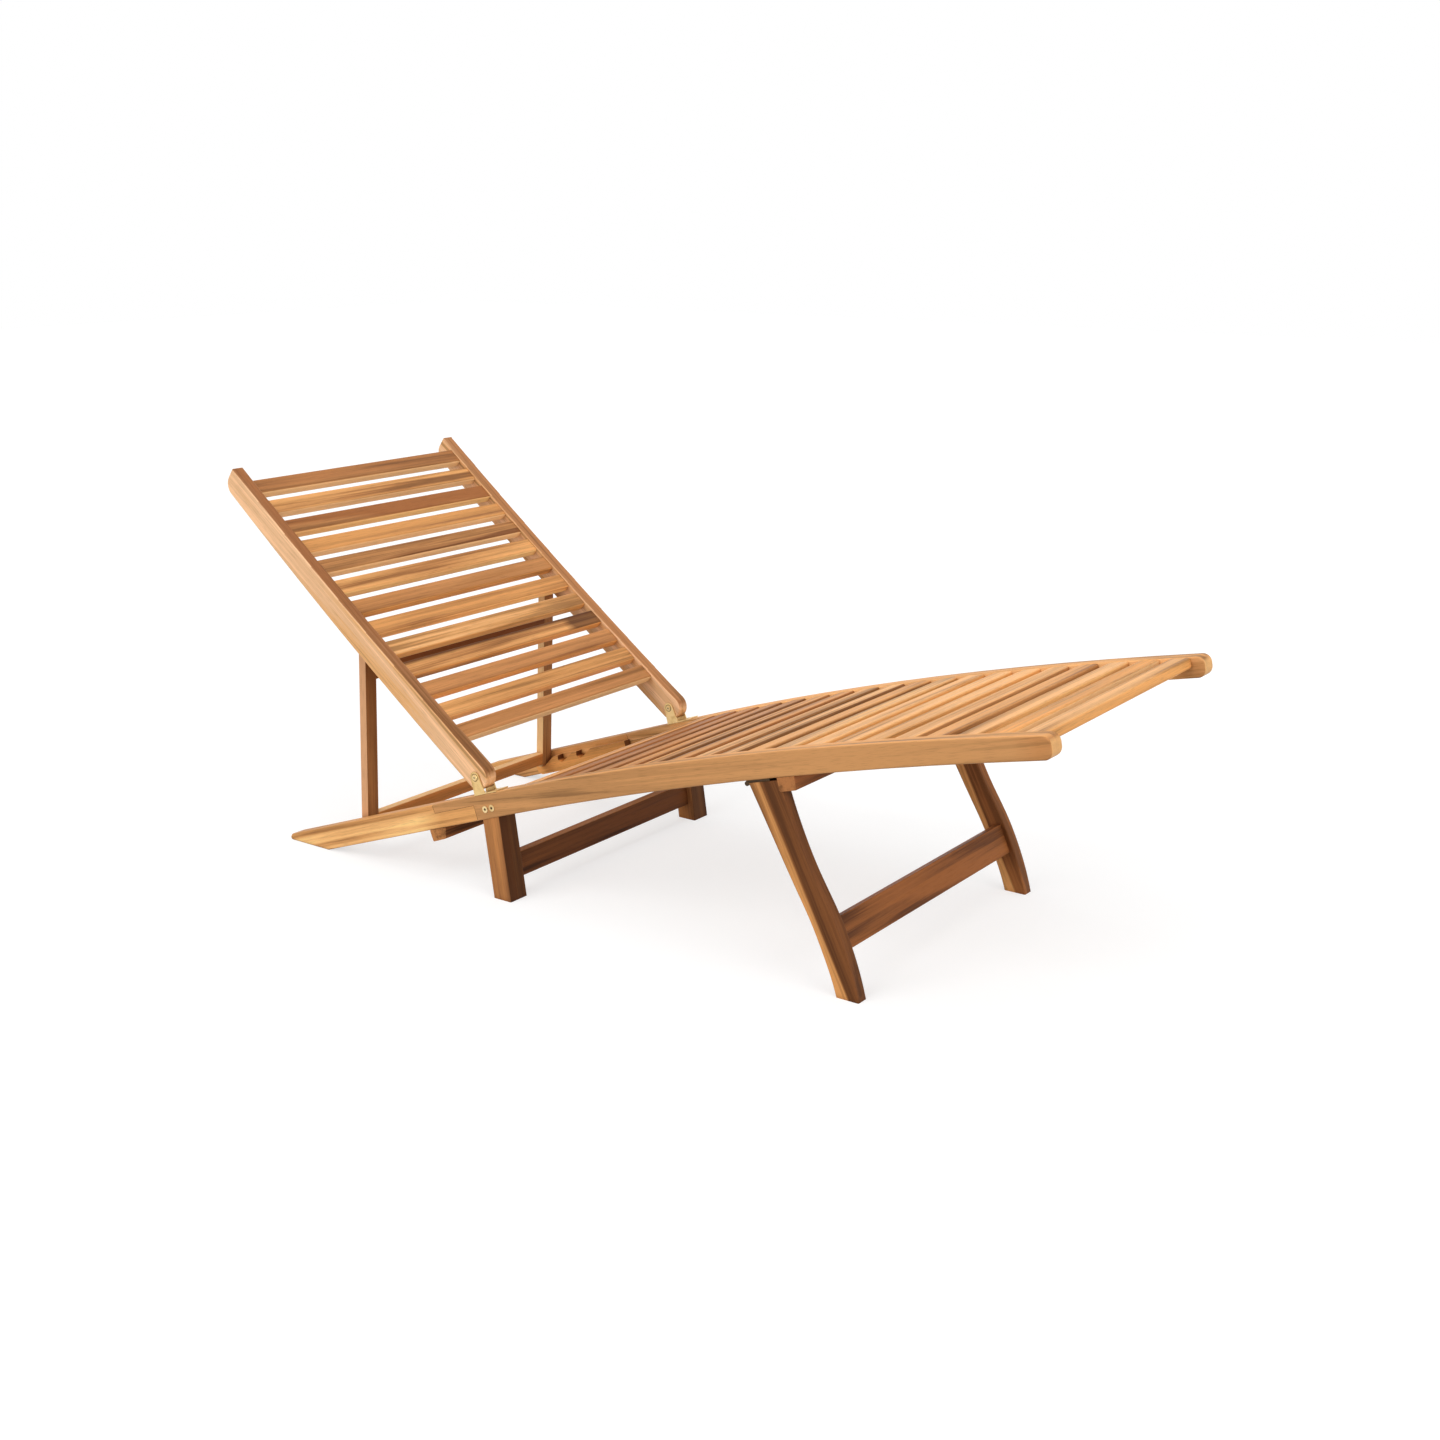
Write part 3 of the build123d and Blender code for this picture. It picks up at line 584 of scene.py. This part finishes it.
# Back slats, counted from the top: tones, darker bands, heartwood faces and lower edges painted
# light. The tenth has a dark streak along its upper edge, STREAK up the back, and a dark far
# end.
BACK_SLATS = 13
STREAK = 0.5885
DARK_END = 0.185
BROWN_END = 0.19
TAN_END = 0.12
BACK_TONES = {
    2: (GOLD, TAN),
    4: (HONEY, OAK),
    6: (GOLD, TAN),
    7: (OAK, TAN),
    8: (HONEY, TAN),
    9: (PALE, GOLD),
    10: (GOLD, TAN),
    11: (OAK, NUT),
    13: (OAK, TAN),
}
BACK_BANDS = {
    7: [(RIGHT, TAN_END, 0.05, TAN, 0.6)],
    9: [(LEFT, BROWN_END, 0.03, BROWN, 0.3)],
    10: [(UP_BACK, STREAK, 0.003, UMBER, 0.95), (LEFT, DARK_END, 0.012, UMBER, 0.85)],
}
BACK_FACES = {
    1: [(OUT_OF_BACK, NUT, 0.95)],
    3: [(OUT_OF_BACK, NUT, 0.95), (OUT_OF_BACK, BROWN, 0.9, "streaked")],
    5: [(OUT_OF_BACK, OAK, 0.95), (OUT_OF_BACK, COCOA, 0.9, "streaked")],
}
# Colours of the painted light on each slat's lower edge.
LIT_BACK_EDGES = {
    1: CREAM,
    2: CREAM,
    3: SAP,
    4: CREAM,
    5: CREAM,
    6: SAP,
    8: FLAME,
    12: FLAME,
    13: CREAM,
}
EVEN_LIT_BACK_EDGES = (1, 2, 4, 5, 12, 13)


def dress_back_slat(i):
    """A back slat, whose lower edge is painted light, paler than its face or more amber."""
    light, dark = BACK_TONES.get(i, (GOLD, HONEY))
    manner = "even" if i in EVEN_LIT_BACK_EDGES else "plain"
    faces = BACK_FACES.get(i, []) + [(DOWN_BACK, LIT_BACK_EDGES.get(i, AMBER), 1.0, manner)]
    bands = BACK_BANDS.get(i, ())
    dress("back_slat_%02d" % i, ALONG_Y, light, dark, 300 + i, 0.6, bands, faces)


# Painted shade in sockets and round the rims of heads in the brass: inner and outer radius, and
# how dark.
PIN_RIM = (0.0058, 0.0073, 0.75)
PIN_DIMPLE = (0, 0.0016, 0.85)
BOLT_SOCKET = (0, 0.0024, 0.9)


def paint_metal():
    """Brass brackets, pins and bolts, and the dark hinges of the front legs."""
    rim = [(*PIVOT, *PIN_RIM)]
    bracket = brass("brass", tint(232, 198, 136), tint(204, 166, 104), rim)
    # The far bracket gets a paler copy of the brass: painted light.
    lit_far_bracket = brass("far_brass", tint(252, 220, 158), tint(226, 188, 124), rim)
    dimple = [(*PIVOT, *PIN_DIMPLE)]
    pin = brass("pin_brass", tint(236, 206, 150), tint(206, 170, 110), dimple)
    sockets = [(*head, *BOLT_SOCKET) for head in BOLT_HEADS]
    bolt = brass("bolt_brass", tint(240, 214, 160), tint(212, 178, 120), sockets)
    hinge = brass("hinge_bronze", tint(84, 64, 42), tint(56, 41, 27))
    paint("back_bracket_left", lit_far_bracket)
    paint("back_bracket_right", bracket)
    paint("prop_pivot_bolts", bracket)
    paint("back_pivot_pin_left", pin)
    paint("back_pivot_pin_right", pin)
    paint("rear_leg_bolts", bolt)
    paint("leg_hinge_rail_leaves", hinge)
    paint("leg_hinge_leg_leaves", hinge)


for number, side in enumerate((FAR, NEAR), 1):
    dress_seat_rail(side, number)
    dress_rear_rail(side, number)
    dress_cleat(side, number)
    dress_rear_leg(side, number)
    dress_front_leg(side, number)
    dress_back_rail(side, number)
    dress_prop(side, number)
dress_crosswise()
for number in range(1, SEAT_SLATS + 1):
    dress_seat_slat(number)
for number in range(1, BACK_SLATS + 1):
    dress_back_slat(number)
paint_metal()

# Screw heads, in shares of the radius: (radius, height) of rings from the sunk rim to the crown,
# and the slot.
SCREW = brass("screw_brass", tint(222, 184, 124), tint(160, 122, 74))
HEAD_RINGS = ((1.0, -0.10), (1.0, 0.02), (0.93, 0.07), (0.72, 0.13), (0.42, 0.17))
HEAD_SIDES = 28
SLOT_HALF = 0.16
SLOT_DEPTH = 0.16


def head_mesh(name, radius):
    """A domed screw head round Z, with a slot along X."""
    mesh = bpy.data.meshes.new(name)
    bm = bmesh.new()
    rings = []
    for share, lift in HEAD_RINGS:
        ring = []
        for j in range(HEAD_SIDES):
            angle = 2 * math.pi * j / HEAD_SIDES
            x = share * radius * math.cos(angle)
            y = share * radius * math.sin(angle)
            drop = SLOT_DEPTH if abs(y) < SLOT_HALF * radius else 0.0
            ring.append(bm.verts.new((x, y, (lift - drop) * radius)))
        rings.append(ring)
    for under, over in zip(rings, rings[1:]):
        for j in range(HEAD_SIDES):
            after = (j + 1) % HEAD_SIDES
            bm.faces.new((under[j], under[after], over[after], over[j]))
    bm.faces.new(rings[-1])
    bm.faces.new(list(reversed(rings[0])))
    bm.normal_update()
    bm.to_mesh(mesh)
    bm.free()
    return mesh


def screw(name, at, normal, radius, body):
    """A countersunk slotted wood screw, its rim sunk in the wood."""
    mesh = head_mesh(name, radius)
    obj = bpy.data.objects.new(name, mesh)
    bpy.context.scene.collection.objects.link(obj)
    aim = Vector(normal).normalized().to_track_quat("Z", "Y").to_matrix().to_4x4()
    mesh.transform(Matrix.Translation(Vector(at)) @ aim)
    mesh.materials.append(SCREW)
    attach(obj, body)


def on_rail(x, drop):
    """Point in the X-Z plane under the rail's straight top line, dropped square to it."""
    z = RAIL_TOP + math.tan(RAIL_SLOPE) * x
    ahead = x + drop * math.sin(RAIL_SLOPE)
    return Vector((RAIL_ZERO + ahead, 0, z - drop * math.cos(RAIL_SLOPE)))


# Two screws in each lap joint's tongue, and one in each bracket's base.
LAP_SCREWS = (-0.117, -0.086)
LAP_SCREW_RADIUS = 0.0042
BRACKET_SCREW_X = 0.0037
BRACKET_SCREW_Z = 0.2026
BRACKET_SCREW_RADIUS = 0.0040

for side, y in ((FAR, RAIL_MIDDLE), (NEAR, -RAIL_MIDDLE)):
    for number, x in enumerate(LAP_SCREWS, 1):
        spot = on_rail(x, 0)
        name = "lap_screw_%s_%d" % (side, number)
        screw(name, (spot.x, y, spot.z), UP_RAIL, LAP_SCREW_RADIUS, "frame")
    spot = (RAIL_ZERO + BRACKET_SCREW_X, y, BRACKET_SCREW_Z)
    screw("bracket_screw_" + side, spot, UP_RAIL, BRACKET_SCREW_RADIUS, "frame")

# Painted shadow lines of the lap joints, dark beads where the seams cast a thin shadow: the
# joint's outline, and the bead's half width, how deep it lies and how little it stands proud.
JOINT_SHADOW = wood("joint_shadow_line", ALONG_REAR_RAIL, UMBER, DUSK, 91, 0.3)
LAP_DEPTH = 0.0165
LAP_REAR_FOOT = -0.137 - LAP_DEPTH * math.sin(RAIL_SLOPE)
LAP_SHOULDER = -0.045
LAP_LINE_TOP = 0.002
LAP_LINE_FOOT = 0.043
BEAD_HALF = 0.0004
BEAD_SUNK = -0.0006
BEAD_PROUD = 0.00004
BEAD_SIDES = 4


def bead_loops(bm, face, outward):
    """The corners of the bead's section at each point of the joint's outline."""
    route = [
        on_rail(RAIL_REAR_END, LAP_LINE_TOP),
        on_rail(LAP_REAR_FOOT, LAP_DEPTH),
        on_rail(LAP_SHOULDER, LAP_DEPTH),
        on_rail(LAP_SHOULDER, LAP_LINE_FOOT),
    ]
    runs = [(end - start).normalized() for start, end in zip(route, route[1:])]
    loops = []
    for j, spot in enumerate(route):
        ways = runs[max(j - 1, 0):j + 1]
        across = sum((Vector((-way.z, 0, way.x)) for way in ways), Vector()).normalized()
        upper = spot + BEAD_HALF * across
        lower = spot - BEAD_HALF * across
        loop = []
        for edge, lift in (
            (upper, BEAD_SUNK),
            (upper, BEAD_PROUD),
            (lower, BEAD_PROUD),
            (lower, BEAD_SUNK),
        ):
            loop.append(bm.verts.new((edge.x, face + outward * lift, edge.z)))
        loops.append(loop)
    return loops


def lap_line(name, face, outward):
    """The thin dark line of the lap joint's seam, a bead of painted shadow that follows its
    outline on one face.
    """
    bm = bmesh.new()
    loops = bead_loops(bm, face, outward)
    for one, two in zip(loops, loops[1:]):
        for j in range(BEAD_SIDES):
            after = (j + 1) % BEAD_SIDES
            bm.faces.new((one[j], one[after], two[after], two[j]))
    bm.faces.new(loops[0])
    bm.faces.new(list(reversed(loops[-1])))
    bmesh.ops.recalc_face_normals(bm, faces=bm.faces)
    mesh = bpy.data.meshes.new(name)
    bm.to_mesh(mesh)
    bm.free()
    mesh.materials.append(JOINT_SHADOW)
    obj = bpy.data.objects.new(name, mesh)
    bpy.context.scene.collection.objects.link(obj)
    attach(obj, "frame")


lap_line("lap_line_left", RAIL_OUTER, 1)
lap_line("lap_line_right", -RAIL_OUTER, -1)
lap_line("lap_line_inner_left", RAIL_INNER, -1)
lap_line("lap_line_inner_right", -RAIL_INNER, 1)

# Floor: white to the camera and in reflections, and a plain grey to the light that it bounces.
FLOOR_HALF = 14
FLOOR_GLOW = 0.64
FLOOR_ROUGHNESS = 0.9
SPECKLE_SCALE = 3.0
SPECKLE_LOW = 0.3
SPECKLE_HIGH = 0.7


def floor_material():
    """Matt floor with a faint speckle. It glows only to rays that show it."""
    s = Shader("floor")
    path = s.add("ShaderNodeLightPath")
    seen = s.math("MAXIMUM", path.outputs["Is Camera Ray"], path.outputs["Is Glossy Ray"])
    seen = s.math("MAXIMUM", seen, path.outputs["Is Transmission Ray"])
    place = s.add("ShaderNodeTexCoord").outputs["Object"]
    speckle = s.noise(place, SPECKLE_SCALE, 3, 0.5)
    bounced = [(SPECKLE_LOW, tint(176, 174, 171)), (SPECKLE_HIGH, tint(182, 180, 177))]
    shown = [(SPECKLE_LOW, tint(172, 172, 172)), (SPECKLE_HIGH, tint(176, 176, 176))]
    colour = s.mix(seen, s.ramp(speckle, bounced), s.ramp(speckle, shown))
    s.link(colour, s.bsdf.inputs["Base Color"])
    s.bsdf.inputs["Roughness"].default_value = FLOOR_ROUGHNESS
    s.bsdf.inputs["Specular IOR Level"].default_value = 0.0
    s.bsdf.inputs["Emission Color"].default_value = WHITE
    s.link(s.math("MULTIPLY", seen, FLOOR_GLOW), s.bsdf.inputs["Emission Strength"])
    return s.mat


floor_mesh = bpy.data.meshes.new("floor")
floor_corners = [
    (-FLOOR_HALF, -FLOOR_HALF, 0),
    (FLOOR_HALF, -FLOOR_HALF, 0),
    (FLOOR_HALF, FLOOR_HALF, 0),
    (-FLOOR_HALF, FLOOR_HALF, 0),
]
floor_mesh.from_pydata(floor_corners, [], [(0, 1, 2, 3)])
floor_mesh.materials.append(floor_material())
floor = bpy.data.objects.new("floor", floor_mesh)
bpy.context.scene.collection.objects.link(floor)

# World: white to the camera and in reflections, and dimmer as a light.
WORLD_LIGHT = 0.38
WORLD_SHOWN = 1.0


def light_world():
    """A white world whose strength depends on the ray that meets it."""
    world = bpy.data.worlds.new("studio")
    bpy.context.scene.world = world
    world.use_nodes = True
    tree = world.node_tree
    background = tree.nodes["Background"]
    rays = tree.nodes.new("ShaderNodeLightPath")
    shown = rays.outputs["Is Camera Ray"]
    for kind in ("Is Glossy Ray", "Is Transmission Ray"):
        either = tree.nodes.new("ShaderNodeMath")
        either.operation = "MAXIMUM"
        tree.links.new(shown, either.inputs[0])
        tree.links.new(rays.outputs[kind], either.inputs[1])
        shown = either.outputs[0]
    level = tree.nodes.new("ShaderNodeMapRange")
    level.inputs["To Min"].default_value = WORLD_LIGHT
    level.inputs["To Max"].default_value = WORLD_SHOWN
    tree.links.new(shown, level.inputs["Value"])
    background.inputs["Color"].default_value = WHITE
    tree.links.new(level.outputs["Result"], background.inputs["Strength"])


def sun(name, toward, strength, spread):
    """A lamp that shines in one direction, softened by its spread in degrees."""
    lamp = bpy.data.lights.new(name, "SUN")
    lamp.energy = strength
    lamp.angle = math.radians(spread)
    obj = bpy.data.objects.new(name, lamp)
    bpy.context.scene.collection.objects.link(obj)
    obj.rotation_euler = Vector(toward).to_track_quat("-Z", "Y").to_euler()


light_world()
sun("left_key", (0.33, 0.80, -0.50), 1.45, 45)
sun("front_fill", (-0.90, 0.22, -0.36), 1.35, 45)
sun("overhead", (0.05, 0.05, -1.0), 0.95, 90)

# Camera at the photo's place, as fitted to its straight edges.
CAMERA_PLACE = (1.91787, -2.5535, 1.2134)
CAMERA_AZIMUTH = math.radians(35.82)
CAMERA_ELEVATION = math.radians(15.97)
SENSOR_WIDTH = 36
FOCAL_LENGTH = 45.65


def set_camera():
    """The scene's camera, which looks down at the chair from its front right."""
    level = math.cos(CAMERA_ELEVATION)
    aim = Vector(
        (
            -math.sin(CAMERA_AZIMUTH) * level,
            math.cos(CAMERA_AZIMUTH) * level,
            -math.sin(CAMERA_ELEVATION),
        )
    )
    lens = bpy.data.cameras.new("photo_camera")
    lens.sensor_width = SENSOR_WIDTH
    lens.lens = FOCAL_LENGTH
    camera = bpy.data.objects.new("photo_camera", lens)
    camera.location = CAMERA_PLACE
    camera.rotation_euler = aim.to_track_quat("-Z", "Y").to_euler()
    bpy.context.scene.collection.objects.link(camera)
    bpy.context.scene.camera = camera


set_camera()
bpy.context.scene.view_settings.view_transform = "Standard"
